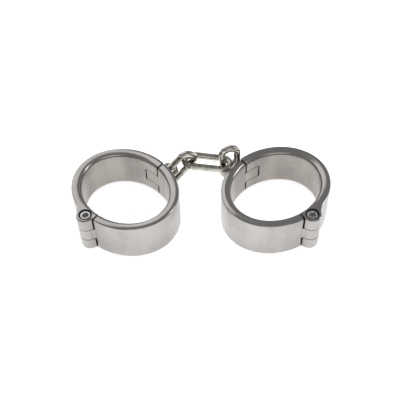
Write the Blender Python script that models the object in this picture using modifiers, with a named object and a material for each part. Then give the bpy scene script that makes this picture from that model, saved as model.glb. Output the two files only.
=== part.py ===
"""Screw-locked oval handcuffs: two hinged solid-band cuffs joined by a three-link chain.

Each cuff is an oval band in two halves. The halves meet in two flush three-knuckle joints: a
hinge on a pin at one end of the oval's short axis, and a lug closed by a cap screw at the other.
The pair lies on its rims. X runs from cuff to cuff, Y away from the lug side, Z up, and the
origin is under the middle of the whole.

The shape of one cuff is worked out in its own plan: x along the oval's short axis towards the
hinge, y towards the half that carries the lug, angles counter-clockwise from x. The right cuff
is the left one mirrored.
"""

import math
from dataclasses import dataclass

import bmesh
import bpy
from mathutils import Matrix, Vector

MM = 0.001

# Band
BAND_HEIGHT = 25.5 * MM
BAND_WALL = 5.7 * MM
OVAL_SHORT = 29.5 * MM          # outer half-width along the short axis
OVAL_LONG = 34.0 * MM           # outer half-width along the long axis
RIM_CHAMFER = 0.7 * MM
OVAL_STEPS = 44

# Knuckles: the band is split in height into three, and the middle third is the tongue
KNUCKLE_HEIGHT = BAND_HEIGHT / 3.0
LEVEL_GAP = 0.3 * MM            # between stacked knuckles
SEAM_GAP = 0.5 * MM             # between a knuckle's end and the band it faces

# Hinge
PIN_ANGLE = math.radians(7.8)
PIN_RADIUS = 1.3 * MM
PIN_CLEARANCE = 0.25 * MM
PIN_END_COVER = 1.4 * MM        # the bore stops this far under the top rim
KNUCKLE_RADIUS = 5.4 * MM       # a knuckle's end is round about the pin
RELIEF_SHIFT = 0.5 * MM         # moves the tongue's recess outwards, clear of the chain eye

# Lug and lock screw
SCREW_RADIUS = 2.0 * MM
SCREW_CLEARANCE = 0.3 * MM
SCREW_FROM_CENTRE = 29.4 * MM
SCREW_TIP_Z = 3.0 * MM
SCREW_HOLE_END_Z = 2.2 * MM
HEAD_RADIUS = 3.1 * MM
HEAD_HEIGHT = 4.0 * MM
HEAD_BELOW_RIM = 0.5 * MM
HEAD_EDGE = 0.4 * MM
SOCKET_ACROSS_FLATS = 3.0 * MM
SOCKET_DEPTH = 2.2 * MM
COUNTERBORE_RADIUS = 3.7 * MM
BOSS_RADIUS = 5.4 * MM
BOSS_FILLET_BACK = 12.0 * MM
BOSS_FILLET_FRONT = 1.6 * MM
LOCK_SEAM = math.radians(13.0)  # from the screw to where the lug's outer knuckles end
TONGUE_SEAM = math.radians(9.5)  # from the screw to where the tongue ends

# Chain eye: a bent-wire U welded to the tongue's root
EYE_WIRE = 3.0 * MM
EYE_ANGLE = math.radians(0.9)
EYE_HALF_WIDTH = 4.35 * MM
EYE_BOW = 5.2 * MM              # centre of the bow, out from the band
EYE_FOOT = 0.3 * MM
WELD_RADIUS = 2.9 * MM
WELD_HEIGHT = 1.7 * MM
WELD_GAP = 0.25 * MM

# Chain links
LINK_WIRE = 4.2 * MM
LINK_LENGTH = 32.0 * MM
LINK_WIDTH = 13.4 * MM
LINK_HALF_WIDTH = (LINK_WIDTH - LINK_WIRE) / 2.0        # to the wire's centre line
LINK_HALF_REACH = (LINK_LENGTH - LINK_WIDTH) / 2.0      # to the centre of a round end
LINK_END_STEPS = 11
LINK_SIDE_STEPS = 3

# Facets of round pieces
PIN_SIDES = 20
SCREW_SIDES = 24
WELD_SIDES = 16
KNUCKLE_SIDES = 40
COUNTERBORE_SIDES = 28
FAR = 60.0 * MM                 # reach of a cutter that leaves the part

STEEL = (0.56, 0.55, 0.54)
BRIGHT_STEEL = (0.66, 0.66, 0.65)
WELD_STEEL = (0.48, 0.47, 0.46)
DARK_STEEL = (0.36, 0.36, 0.37)


@dataclass(frozen=True)
class Link:
    """Where one chain link lies: its centre, its long direction and its broad direction."""

    name: str
    centre: Vector
    along: Vector
    across: Vector


LINKS = (
    Link("left_end_link", Vector((-12.3, 22.9, 15.4)) * MM,
         Vector((0.56, -0.05, 0.83)), Vector((-0.82, -0.17, 0.55))),
    Link("middle_link", Vector((5.3, 22.2, 19.8)) * MM,
         Vector((0.99, -0.11, -0.09)), Vector((0.11, 0.99, 0.03))),
    Link("right_end_link", Vector((18.9, 21.8, 20.1)) * MM,
         Vector((-0.04, -0.17, 0.99)), Vector((0.98, 0.17, 0.06))),
)


@dataclass(frozen=True)
class Cuff:
    """Places a cuff's plan in the world."""

    side: str
    centre: Vector
    turn: float
    mirrored: bool

    def place(self, x, y, z=0.0):
        """Return the world point of plan point (x, y) at height z."""
        turned = Matrix.Rotation(self.turn, 3, "Z") @ Vector((x, y, z))
        if self.mirrored:
            turned.x = -turned.x
        return turned + self.centre

    def at(self, angle, radius, z=0.0):
        """Return the world point at a plan angle and radius."""
        return self.place(radius * math.cos(angle), radius * math.sin(angle), z)


CUFFS = (
    Cuff("left", Vector((-43.7, -0.9, 0.0)) * MM, math.radians(43.0), False),
    Cuff("right", Vector((44.6, -2.6, 0.0)) * MM, math.radians(51.2), True),
)


def oval_radius(angle, inset=0.0):
    """Distance from the cuff's centre to the oval, drawn in by an inset."""
    short = OVAL_SHORT - inset
    long = OVAL_LONG - inset
    return 1.0 / math.hypot(math.cos(angle) / short, math.sin(angle) / long)


# ---------------------------------------------------------------- scene helpers

def clear_scene():
    """Remove what a new Blender file holds."""
    for thing in list(bpy.data.objects):
        bpy.data.objects.remove(thing, do_unlink=True)
    for group in list(bpy.data.collections):
        bpy.data.collections.remove(group)


def new_collection(name):
    """Add a collection to the scene."""
    group = bpy.data.collections.new(name)
    bpy.context.scene.collection.children.link(group)
    return group


def metal(name, colour, roughness):
    """Make a Principled metal."""
    material = bpy.data.materials.new(name)
    material.use_nodes = True
    shader = material.node_tree.nodes["Principled BSDF"]
    shader.inputs["Base Color"].default_value = (*colour, 1.0)
    shader.inputs["Metallic"].default_value = 1.0
    shader.inputs["Roughness"].default_value = roughness
    return material


def move_to(thing, group):
    """Put an object in one collection only."""
    for old in list(thing.users_collection):
        old.objects.unlink(thing)
    group.objects.link(thing)


def set_origin(thing, point):
    """Move an object's origin to a world point and leave its shape where it is."""
    shift = Matrix.Translation(thing.location - point)
    thing.data.transform(shift)
    thing.location = point


def hang_on(child, parent):
    """Parent an object and keep it where it is."""
    bpy.context.view_layer.update()
    child.parent = parent
    child.matrix_parent_inverse = parent.matrix_world.inverted()


def to_mesh_object(curve_object, group):
    """Replace a curve object by a welded mesh object of the same shape."""
    bpy.context.view_layer.update()
    evaluated = curve_object.evaluated_get(bpy.context.evaluated_depsgraph_get())
    mesh = bpy.data.meshes.new_from_object(evaluated)
    shape = bmesh.new()
    shape.from_mesh(mesh)
    bmesh.ops.remove_doubles(shape, verts=shape.verts, dist=0.00001)
    bmesh.ops.recalc_face_normals(shape, faces=shape.faces)
    shape.to_mesh(mesh)
    shape.free()
    name = curve_object.name
    matrix = curve_object.matrix_world.copy()
    bpy.data.objects.remove(curve_object, do_unlink=True)
    result = bpy.data.objects.new(name, mesh)
    result.matrix_world = matrix
    group.objects.link(result)
    return result


def plate(name, outlines, low, high, group):
    """Make a solid from flat outlines, between two heights. A second outline is a hole."""
    curve = bpy.data.curves.new(name, "CURVE")
    curve.dimensions = "2D"
    curve.fill_mode = "BOTH"
    curve.extrude = (high - low) / 2.0
    for outline in outlines:
        spline = curve.splines.new("POLY")
        spline.points.add(len(outline) - 1)
        for point, place in zip(spline.points, outline):
            point.co = (place.x, place.y, 0.0, 1.0)
        spline.use_cyclic_u = True
    flat = bpy.data.objects.new(name, curve)
    flat.location.z = (high + low) / 2.0
    bpy.context.scene.collection.objects.link(flat)
    return to_mesh_object(flat, group)


def rod(name, centre, radius, low, high, sides, group):
    """Make an upright cylinder between two heights."""
    middle = Vector((centre.x, centre.y, (low + high) / 2.0))
    bpy.ops.mesh.primitive_cylinder_add(
        vertices=sides, radius=radius, depth=high - low, location=middle)
    result = bpy.context.object
    result.name = name
    move_to(result, group)
    return result


def cut(thing, cutter):
    """Cut one closed shape from another. The exact solver loses a band that is cut this often."""
    cutter.hide_render = True
    cutter.display_type = "WIRE"
    boolean = thing.modifiers.new(cutter.name, "BOOLEAN")
    boolean.solver = "MANIFOLD"
    boolean.operation = "DIFFERENCE"
    boolean.object = cutter


def shade_round(thing):
    """Shade smooth, with sharp edges kept."""
    thing.data.shade_smooth()
    thing.data.set_sharp_from_angle(angle=math.radians(35.0))


# ---------------------------------------------------------------- band

def fillet_centre(radius, towards_back):
    """Find a fillet circle that touches the oval and the boss from outside."""
    boss = Vector((-SCREW_FROM_CENTRE, 0.0))
    side = 1.0 if towards_back else -1.0
    low, high = math.radians(2.0), math.radians(60.0)
    for _ in range(50):
        offset = (low + high) / 2.0
        turn = math.pi - side * offset
        on_oval = Vector((OVAL_SHORT * math.cos(turn), OVAL_LONG * math.sin(turn)))
        normal = Vector((OVAL_LONG * math.cos(turn), OVAL_SHORT * math.sin(turn))).normalized()
        centre = on_oval + normal * radius
        if (centre - boss).length < BOSS_RADIUS + radius:
            low = offset
        else:
            high = offset
    return centre, on_oval, turn


def arc(centre, start, end, steps):
    """Points on the short way round from start to end, about a centre."""
    first = start - centre
    last = end - centre
    angle = math.atan2(first.x * last.y - first.y * last.x, first.dot(last))
    points = []
    for step in range(steps + 1):
        turned = Matrix.Rotation(angle * step / steps, 2) @ first
        points.append(centre + turned)
    return points


def outer_outline():
    """Plan points of the band's outside, with the lug's boss and its two fillets."""
    boss = Vector((-SCREW_FROM_CENTRE, 0.0))
    back_centre, back_touch, back_turn = fillet_centre(BOSS_FILLET_BACK, True)
    front_centre, front_touch, front_turn = fillet_centre(BOSS_FILLET_FRONT, False)
    back_on_boss = boss + (back_centre - boss).normalized() * BOSS_RADIUS
    front_on_boss = boss + (front_centre - boss).normalized() * BOSS_RADIUS
    points = []
    start = front_turn - 2.0 * math.pi
    for step in range(OVAL_STEPS):
        turn = start + (back_turn - start) * step / OVAL_STEPS
        points.append(Vector((OVAL_SHORT * math.cos(turn), OVAL_LONG * math.sin(turn))))
    points += arc(back_centre, back_touch, back_on_boss, 4)[:-1]
    tip = boss + Vector((-BOSS_RADIUS, 0.0))
    points += arc(boss, back_on_boss, tip, 5)[:-1]
    points += arc(boss, tip, front_on_boss, 5)[:-1]
    points += arc(front_centre, front_on_boss, front_touch, 3)[:-1]
    return points


def inner_outline():
    """Plan points of the band's inside."""
    points = []
    for step in range(OVAL_STEPS):
        turn = 2.0 * math.pi * step / OVAL_STEPS
        points.append(Vector(((OVAL_SHORT - BAND_WALL) * math.cos(turn),
                              (OVAL_LONG - BAND_WALL) * math.sin(turn))))
    return points


def whole_band(cuff, name, group):
    """The uncut band and lug of a cuff, with its rims chamfered."""
    outlines = []
    for outline in (outer_outline(), inner_outline()):
        outlines.append([cuff.place(point.x, point.y) for point in outline])
    band = plate(name, outlines, 0.0, BAND_HEIGHT, group)
    chamfer = band.modifiers.new("rim_chamfer", "BEVEL")
    chamfer.width = RIM_CHAMFER
    chamfer.segments = 1
    chamfer.limit_method = "ANGLE"
    chamfer.angle_limit = math.radians(60.0)
    return band


def pin_point(cuff):
    """World place of the hinge pin's axis, in the middle of the wall."""
    return cuff.at(PIN_ANGLE, oval_radius(PIN_ANGLE, BAND_WALL / 2.0))


def screw_point(cuff):
    """World place of the lock screw's axis."""
    return cuff.at(math.pi, SCREW_FROM_CENTRE)


def sector(cuff, name, start, end, low, high, group):
    """A wedge from the cuff's centre between two plan angles."""
    steps = max(1, math.ceil((end - start) / math.radians(60.0)))
    outline = [cuff.place(0.0, 0.0)]
    for step in range(steps + 1):
        outline.append(cuff.at(start + (end - start) * step / steps, FAR))
    return plate(name, [outline], low, high, group)


def recess_axis_point(cuff):
    """Axis of the recess that the hinge tongue turns in, moved outwards from the pin."""
    radius = oval_radius(PIN_ANGLE, BAND_WALL / 2.0) + RELIEF_SHIFT
    return cuff.at(PIN_ANGLE, radius)


def lug_half(cuff, cutters, group):
    """The half with the counterbored lug, whose top and bottom thirds are the knuckles."""
    name = cuff.side + "_lug_half"
    half = whole_band(cuff, name, group)
    pin = pin_point(cuff)
    lock = math.pi + LOCK_SEAM
    away = sector(cuff, name + "_away", lock - gap_angle(), 2.0 * math.pi + PIN_ANGLE,
                  -FAR, FAR, cutters)
    keep = rod(name + "_knuckle_end", pin, KNUCKLE_RADIUS, -2.0 * FAR, 2.0 * FAR, KNUCKLE_SIDES, cutters)
    cut(away, keep)
    cut(half, away)
    low = KNUCKLE_HEIGHT - LEVEL_GAP / 2.0
    high = 2.0 * KNUCKLE_HEIGHT + LEVEL_GAP / 2.0
    recess = rod(name + "_tongue_recess", recess_axis_point(cuff),
                 KNUCKLE_RADIUS + SEAM_GAP, low, high, KNUCKLE_SIDES, cutters)
    cut(half, recess)
    slot = sector(cuff, name + "_lock_slot", math.pi - TONGUE_SEAM - gap_angle(),
                  lock + LOCK_SEAM, low, high, cutters)
    cut(half, slot)
    drill_pin_bore(cuff, half, cutters)
    drill_screw_hole(cuff, half, cutters)
    screw = screw_point(cuff)
    seat = BAND_HEIGHT - HEAD_BELOW_RIM - HEAD_HEIGHT - LEVEL_GAP
    counterbore = rod(name + "_counterbore", screw, COUNTERBORE_RADIUS, seat,
                      BAND_HEIGHT + FAR, COUNTERBORE_SIDES, cutters)
    cut(half, counterbore)
    return half


def chain_half(cuff, cutters, group):
    """The half that carries the chain, whose middle third is the tongue at both ends."""
    name = cuff.side + "_chain_half"
    half = whole_band(cuff, name, group)
    pin = pin_point(cuff)
    away = sector(cuff, name + "_away", PIN_ANGLE, math.pi - TONGUE_SEAM, -FAR, FAR, cutters)
    keep = rod(name + "_tongue_end", pin, KNUCKLE_RADIUS, -2.0 * FAR, 2.0 * FAR, KNUCKLE_SIDES, cutters)
    cut(away, keep)
    cut(half, away)
    low = KNUCKLE_HEIGHT + LEVEL_GAP / 2.0
    high = 2.0 * KNUCKLE_HEIGHT - LEVEL_GAP / 2.0
    for label, bottom, top in (("lower", -FAR, low), ("upper", high, FAR)):
        recess = rod(name + "_hinge_recess_" + label, pin,
                     KNUCKLE_RADIUS + SEAM_GAP, bottom, top, KNUCKLE_SIDES, cutters)
        cut(half, recess)
        slot = sector(cuff, name + "_lock_slot_" + label, math.pi - 2.0 * LOCK_SEAM,
                      math.pi + LOCK_SEAM, bottom, top, cutters)
        cut(half, slot)
    drill_pin_bore(cuff, half, cutters)
    drill_screw_hole(cuff, half, cutters)
    return half


def gap_angle():
    """The seam gap as an angle at the lug."""
    return SEAM_GAP / OVAL_SHORT


def drill_pin_bore(cuff, half, cutters):
    """Drill for the hinge pin from below, and stop under the top rim."""
    bore = rod(half.name + "_pin_bore", pin_point(cuff), PIN_RADIUS + PIN_CLEARANCE,
               -FAR, BAND_HEIGHT - PIN_END_COVER, PIN_SIDES, cutters)
    cut(half, bore)


def drill_screw_hole(cuff, half, cutters):
    """Drill for the lock screw from above."""
    hole = rod(half.name + "_screw_hole", screw_point(cuff), SCREW_RADIUS + SCREW_CLEARANCE,
               SCREW_HOLE_END_Z, BAND_HEIGHT + FAR, SCREW_SIDES, cutters)
    cut(half, hole)


# ---------------------------------------------------------------- pin, screw, eye, welds

def hinge_pin(cuff, group):
    """The pin through the three hinge knuckles."""
    top = BAND_HEIGHT - PIN_END_COVER - LEVEL_GAP
    return rod(cuff.side + "_hinge_pin", pin_point(cuff), PIN_RADIUS, 0.0, top,
               PIN_SIDES, group)


def turned(name, profile, sides, closed, group):
    """Turn a profile of (radius, height) points about Z, down its outer side."""
    mesh = bpy.data.meshes.new(name)
    vertices = [(radius, 0.0, height) for radius, height in profile]
    edges = [(index, index + 1) for index in range(len(profile) - 1)]
    if closed:
        edges.append((len(profile) - 1, 0))
    mesh.from_pydata(vertices, edges, [])
    piece = bpy.data.objects.new(name, mesh)
    group.objects.link(piece)
    screw = piece.modifiers.new("turn", "SCREW")
    screw.steps = sides
    screw.render_steps = sides
    screw.use_merge_vertices = True
    screw.merge_threshold = 0.00001
    return piece


def lock_screw(cuff, cutters, group):
    """A hex-socket cap screw, its head down in the counterbore."""
    name = cuff.side + "_lock_screw"
    top = BAND_HEIGHT - HEAD_BELOW_RIM
    under = top - HEAD_HEIGHT
    profile = [
        (0.0, top),
        (HEAD_RADIUS - HEAD_EDGE, top),
        (HEAD_RADIUS, top - HEAD_EDGE),
        (HEAD_RADIUS, under),
        (SCREW_RADIUS, under),
        (SCREW_RADIUS, SCREW_TIP_Z + HEAD_EDGE),
        (SCREW_RADIUS - HEAD_EDGE, SCREW_TIP_Z),
        (0.0, SCREW_TIP_Z),
    ]
    screw = turned(name, profile, SCREW_SIDES, False, group)
    place = screw_point(cuff)
    screw.location = place
    corner = SOCKET_ACROSS_FLATS / math.sqrt(3.0)
    socket = rod(name + "_socket", place, corner, top - SOCKET_DEPTH, top + HEAD_HEIGHT, 6,
                 cutters)
    cut(screw, socket)
    return screw


def wire(name, points, diameter, cyclic, group):
    """A round wire along points, as a curve with round section."""
    curve = bpy.data.curves.new(name, "CURVE")
    curve.dimensions = "3D"
    curve.bevel_depth = diameter / 2.0
    curve.bevel_resolution = 3
    curve.use_fill_caps = not cyclic
    spline = curve.splines.new("POLY")
    spline.points.add(len(points) - 1)
    for point, place in zip(spline.points, points):
        point.co = (*place, 1.0)
    spline.use_cyclic_u = cyclic
    piece = bpy.data.objects.new(name, curve)
    group.objects.link(piece)
    return piece


def eye_point(cuff, across, out):
    """World point by the chain eye: across the eye, and out from the band's surface."""
    angle = EYE_ANGLE
    base = oval_radius(angle)
    x = (base + out) * math.cos(angle) - across * math.sin(angle)
    y = (base + out) * math.sin(angle) + across * math.cos(angle)
    return cuff.place(x, y, BAND_HEIGHT / 2.0)


def chain_eye(cuff, group):
    """The bent-wire U that holds the chain's end link."""
    points = [eye_point(cuff, -EYE_HALF_WIDTH, EYE_FOOT)]
    steps = 12
    for step in range(steps + 1):
        turn = math.pi * step / steps
        points.append(eye_point(cuff, -EYE_HALF_WIDTH * math.cos(turn),
                                EYE_BOW + EYE_HALF_WIDTH * math.sin(turn)))
    points.append(eye_point(cuff, EYE_HALF_WIDTH, EYE_FOOT))
    eye = wire(cuff.side + "_chain_eye", points, EYE_WIRE, False, group)
    weld_caps = eye.modifiers.new("weld_caps", "WELD")
    weld_caps.merge_threshold = 0.00001
    return eye


def eye_weld(cuff, label, across, group):
    """A fillet of weld round one foot of the chain eye."""
    inner = EYE_WIRE / 2.0 + WELD_GAP
    profile = [
        (inner, WELD_HEIGHT),
        (inner + 0.3 * MM, WELD_HEIGHT - 0.2 * MM),
        ((inner + WELD_RADIUS) / 2.0, 0.45 * WELD_HEIGHT),
        (WELD_RADIUS, 0.15 * MM),
        (WELD_RADIUS, 0.0),
        (inner, 0.0),
    ]
    bead = turned(cuff.side + "_" + label + "_weld", profile, WELD_SIDES, True, group)
    foot = eye_point(cuff, across, EYE_FOOT)
    out = eye_point(cuff, across, EYE_BOW) - foot
    bead.matrix_world = Matrix.Translation(foot) @ out.to_track_quat("Z", "Y").to_matrix().to_4x4()
    return bead


# ---------------------------------------------------------------- chain

def link_place(link, x, y):
    """World point of a link's plan point: x along the link, y across it."""
    along = link.along.normalized()
    across = (link.across - link.across.dot(along) * along).normalized()
    return link.centre + along * x + across * y


def link_points(link):
    """Centre-line points of a link: two straight sides and two half-round ends."""
    radius = LINK_HALF_WIDTH
    reach = LINK_HALF_REACH
    plan = []
    for end in (1.0, -1.0):
        for step in range(LINK_SIDE_STEPS):
            plan.append((end * (2.0 * step / LINK_SIDE_STEPS - 1.0) * reach, -end * radius))
        for step in range(LINK_END_STEPS):
            turn = math.pi * (step / LINK_END_STEPS - 0.5)
            plan.append((end * (reach + radius * math.cos(turn)), end * radius * math.sin(turn)))
    return [link_place(link, x, y) for x, y in plan]


def chain_link(link, pivot, group):
    """One link of round wire, with its origin on the axis that it swings about."""
    points = [point - pivot for point in link_points(link)]
    piece = wire(link.name, points, LINK_WIRE, True, group)
    piece.location = pivot
    return piece


def chain_pivots():
    """Points on the upright axes that the three links and the right cuff swing about."""
    first, middle, last = LINKS
    in_eye = eye_point(CUFFS[0], 0.0, EYE_BOW)
    in_first = link_place(middle, -LINK_HALF_REACH, 0.0)
    in_middle = link_place(last, 0.0, -LINK_HALF_WIDTH)
    in_last = link_place(last, -LINK_HALF_REACH, LINK_HALF_WIDTH)
    return in_eye, in_first, in_middle, in_last


# ---------------------------------------------------------------- assembly

def dress(pieces, material):
    """Give pieces one material and round shading."""
    for piece in pieces:
        piece.data.materials.append(material)
        if piece.type == "MESH":
            shade_round(piece)


def centre_on_origin(group, root):
    """Move the root so that the whole stands over the origin."""
    bpy.context.view_layer.update()
    graph = bpy.context.evaluated_depsgraph_get()
    corners = []
    for piece in group.objects:
        if piece.type == "EMPTY":
            continue
        solid = piece.evaluated_get(graph)
        mesh = solid.to_mesh()
        corners += [solid.matrix_world @ vertex.co for vertex in mesh.vertices]
        solid.to_mesh_clear()
    middle_x = (min(c.x for c in corners) + max(c.x for c in corners)) / 2.0
    middle_y = (min(c.y for c in corners) + max(c.y for c in corners)) / 2.0
    lowest = min(c.z for c in corners)
    root.location = (-middle_x, -middle_y, -lowest)


def build_cuff(cuff, carrier_origin, group, cutters, finishes):
    """Make one cuff's pieces. Returns its chain half, which the rest hang on."""
    satin, bright, dark, welded = finishes
    carrier = chain_half(cuff, cutters, group)
    swinger = lug_half(cuff, cutters, group)
    pin = hinge_pin(cuff, group)
    screw = lock_screw(cuff, cutters, group)
    eye = chain_eye(cuff, group)
    welds = [
        eye_weld(cuff, "front", -EYE_HALF_WIDTH, group),
        eye_weld(cuff, "back", EYE_HALF_WIDTH, group),
    ]
    set_origin(carrier, carrier_origin)
    set_origin(swinger, pin_point(cuff))
    for child, parent in ((swinger, carrier), (pin, swinger), (screw, swinger), (eye, carrier)):
        hang_on(child, parent)
    for bead in welds:
        hang_on(bead, carrier)
    dress([carrier, swinger], satin)
    dress([eye], bright)
    dress([pin, screw], dark)
    dress(welds, welded)
    return carrier


def build():
    """Make the whole assembly."""
    clear_scene()
    group = new_collection("handcuffs")
    cutters = new_collection("handcuffs_cutters")
    finishes = (
        metal("satin_steel", STEEL, 0.32),
        metal("bright_steel", BRIGHT_STEEL, 0.15),
        metal("dark_steel", DARK_STEEL, 0.3),
        metal("weld_steel", WELD_STEEL, 0.4),
    )
    root = bpy.data.objects.new("handcuffs_frame", None)
    group.objects.link(root)
    pivots = chain_pivots()
    first, last = CUFFS
    left_half = build_cuff(first, first.centre, group, cutters, finishes)
    right_half = build_cuff(last, pivots[-1], group, cutters, finishes)
    links = [chain_link(link, pivot, group) for link, pivot in zip(LINKS, pivots)]
    dress(links, finishes[1])
    hang_on(left_half, root)
    for child, parent in zip(links + [right_half], [left_half] + links):
        hang_on(child, parent)
    for cutter in cutters.objects:
        hang_on(cutter, root)
    centre_on_origin(group, root)


build()
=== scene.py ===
"""Looks of a pair of screw-locked oval handcuffs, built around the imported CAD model.

Each sub-assembly is a class. It takes its place from the frame's own nodes, builds finer pieces
than the CAD solids, dresses them in a worked-steel finish and hangs them on their bodies.
Lengths are in metres. A cuff's shape is worked out in its own plan: x along the oval's short
axis towards the hinge, y towards the half that carries the lug, angles counter-clockwise from x.
The right cuff is the left one mirrored.
"""

from __future__ import annotations

import logging
import math
from dataclasses import dataclass
from enum import Enum
from typing import Iterable, Sequence

import bmesh
import bpy
import numpy as np
from mathutils import Matrix, Vector

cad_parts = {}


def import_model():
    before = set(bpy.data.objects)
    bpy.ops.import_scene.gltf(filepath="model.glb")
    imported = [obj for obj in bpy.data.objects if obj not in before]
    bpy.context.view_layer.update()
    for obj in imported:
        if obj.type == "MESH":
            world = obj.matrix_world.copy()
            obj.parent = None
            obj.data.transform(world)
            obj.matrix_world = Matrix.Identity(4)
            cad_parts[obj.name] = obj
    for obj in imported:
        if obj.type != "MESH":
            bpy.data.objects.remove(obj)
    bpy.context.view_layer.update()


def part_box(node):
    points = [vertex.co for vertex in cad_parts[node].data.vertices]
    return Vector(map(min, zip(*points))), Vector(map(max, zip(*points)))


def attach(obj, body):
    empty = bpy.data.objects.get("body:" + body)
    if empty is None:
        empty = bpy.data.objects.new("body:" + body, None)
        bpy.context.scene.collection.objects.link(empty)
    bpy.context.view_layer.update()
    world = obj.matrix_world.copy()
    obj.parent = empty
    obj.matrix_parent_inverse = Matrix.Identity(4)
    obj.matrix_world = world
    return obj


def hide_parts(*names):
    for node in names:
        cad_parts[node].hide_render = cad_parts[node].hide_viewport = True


MM = 0.001
SHARP_ANGLE = math.radians(32.0)
MERGE_DISTANCE = 0.002 * MM
SURE_CUT = 60.0 * MM            # reach of a cutter that leaves the part
SKIN, SHADED_SEAM_WALL = 0, 1          # a face's material index: worked skin, or a wall left by a cut, which is painted dark as shade
DRUM_SIDES = 96
SOCKET_SIDES = 6
SCREW_CHAMFER_SIDES = 48
MIX_NUMBERS = (2, 3)            # places of the Mix node's inputs, which share their names
MIX_COLOURS = (6, 7)
MIX_COLOUR_OUT = 2

# Finishes: where smooth steps from 0 to 1 start and end, and how the marks are scaled
SMOOTHEST = 0.04                # the least roughness that a finish can fall to
TONE_STEP = (0.75, 1.25)        # of the sum of two noises
CREST_STEP = (0.35, 0.75)       # of a tool mark's height
BORE_SHADE_STEP = (-0.2, -0.6)        # of how far a wall faces away from the axis, for the painted shade in the bore
RIM_STEP = (0.35, 0.9)          # of how far a face looks up or down, for buffing and for the painted light on the rims
STRAW_STEP = (0.45, 0.70)       # of the heat noise
BLUE_STEP = (0.62, 0.80)
HEAT_SCALE = 420.0              # patches of heat tint per metre
WAVE_PHASE = 20.0               # the wave texture's phase per metre, at a scale of 1
LEVEL_STRETCH = 50.0            # length of a brushed mark against its width
TURNED_STRETCH = 0.3            # how far turned marks follow the height

Colour = tuple[float, float, float]

STRAW_TINT: Colour = (0.42, 0.34, 0.22)
BLUE_TINT: Colour = (0.24, 0.25, 0.32)

LOG = logging.getLogger("handcuffs")


# ---------------------------------------------------------------- node trees

class Tree:
    """Adds nodes to a node tree and joins them up."""

    def __init__(self, tree: bpy.types.NodeTree) -> None:
        """Work on one shader or geometry tree."""
        self.tree = tree

    def add(self, kind: str, inputs: dict | None = None, **settings: object) -> bpy.types.Node:
        """Add a node.

        Args:
            kind: The node's type name.
            inputs: Values or output sockets, by the name or number of the node's input.
            **settings: The node's own properties.

        Returns:
            The new node.
        """
        node = self.tree.nodes.new(kind)
        for name, value in settings.items():
            setattr(node, name, value)
        for key, value in (inputs or {}).items():
            if isinstance(value, bpy.types.NodeSocket):
                self.tree.links.new(value, node.inputs[key])
            else:
                node.inputs[key].default_value = value
        return node

    def math(self, operation: str, *values: object) -> bpy.types.NodeSocket:
        """Add a Math node with numbers or sockets as its values, and return its output."""
        node = self.add("ShaderNodeMath", dict(enumerate(values)), operation=operation)
        return node.outputs[0]

    def vector(self, operation: str, *values: object) -> bpy.types.Node:
        """Add a Vector Math node and return it, as some operations give a vector, some a number."""
        return self.add("ShaderNodeVectorMath", dict(enumerate(values)), operation=operation)

    def shift(
        self, geometry: bpy.types.NodeSocket, way: bpy.types.NodeSocket, amount: bpy.types.NodeSocket
    ) -> bpy.types.NodeSocket:
        """Move a geometry's points.

        Args:
            geometry: What is moved.
            way: The direction.
            amount: How far.

        Returns:
            The moved geometry's socket.
        """
        offset = self.add("ShaderNodeVectorMath", {0: way, "Scale": amount}, operation="SCALE")
        moved = self.add("GeometryNodeSetPosition", {"Geometry": geometry, "Offset": offset.outputs[0]})
        return moved.outputs[0]

    def finish(self, geometry: bpy.types.NodeSocket, material: bpy.types.NodeSocket) -> None:
        """End a geometry tree.

        Args:
            geometry: What the tree gives.
            material: Its material.
        """
        real = self.add("GeometryNodeRealizeInstances", {"Geometry": geometry})
        dressed = self.add(
            "GeometryNodeSetMaterial", {"Geometry": real.outputs[0], "Material": material})
        self.add("NodeGroupOutput", {0: dressed.outputs[0]})

    def ramp(self, value: bpy.types.NodeSocket, low: float, high: float) -> bpy.types.NodeSocket:
        """Map a value smoothly to 0..1.

        Args:
            value: The value to map.
            low: What becomes 0.
            high: What becomes 1.

        Returns:
            The mapped value's socket.
        """
        node = self.add(
            "ShaderNodeMapRange",
            {"Value": value, "From Min": low, "From Max": high},
            interpolation_type="SMOOTHSTEP",
        )
        return node.outputs["Result"]

    def mix(self, factor: object, first: object, second: object) -> bpy.types.NodeSocket:
        """Mix two colours.

        Args:
            factor: 0 for the first, 1 for the second.
            first: A colour or a socket.
            second: A colour or a socket.

        Returns:
            The mixed colour's socket.
        """
        node = self.add("ShaderNodeMix", {"Factor": factor}, data_type="RGBA")
        for place, value in zip(MIX_COLOURS, (first, second)):
            if isinstance(value, bpy.types.NodeSocket):
                self.tree.links.new(value, node.inputs[place])
            else:
                node.inputs[place].default_value = (*value, 1.0)
        return node.outputs[MIX_COLOUR_OUT]


def geometry_tree(name: str, kinds: dict[str, str]) -> Tree:
    """Start a geometry tree with named inputs.

    Args:
        name: The tree's name.
        kinds: The kind of socket of each input after the geometry, by the input's name.

    Returns:
        The tree.
    """
    group = bpy.data.node_groups.new(name, "GeometryNodeTree")
    geometry = {"Geometry": "Geometry"}
    for side, sockets in (("INPUT", geometry | kinds), ("OUTPUT", geometry)):
        for label, kind in sockets.items():
            group.interface.new_socket(label, in_out=side, socket_type="NodeSocket" + kind)
    return Tree(group)


def run_tree(thing: bpy.types.Object, tree: bpy.types.NodeTree, inputs: dict[str, object]) -> None:
    """Give an object a geometry tree.

    Args:
        thing: The object.
        tree: The tree.
        inputs: Its inputs, by name.
    """
    nodes = thing.modifiers.new(tree.name, "NODES")
    nodes.node_group = tree
    for socket in tree.interface.items_tree:
        if socket.in_out == "INPUT" and socket.name in inputs:
            nodes[socket.identifier] = inputs[socket.name]


# ---------------------------------------------------------------- finishes

class Grain(Enum):
    """How a steel surface was worked, which decides the direction of its marks."""

    LEVEL = "brushed round the band, so that the marks lie level"
    HAND = "polished by hand, so that the marks have no direction"
    TURNED = "cut on a lathe, so that the marks are rings about the axis"
    WELDED = "left as welded, with heat tint"


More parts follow.
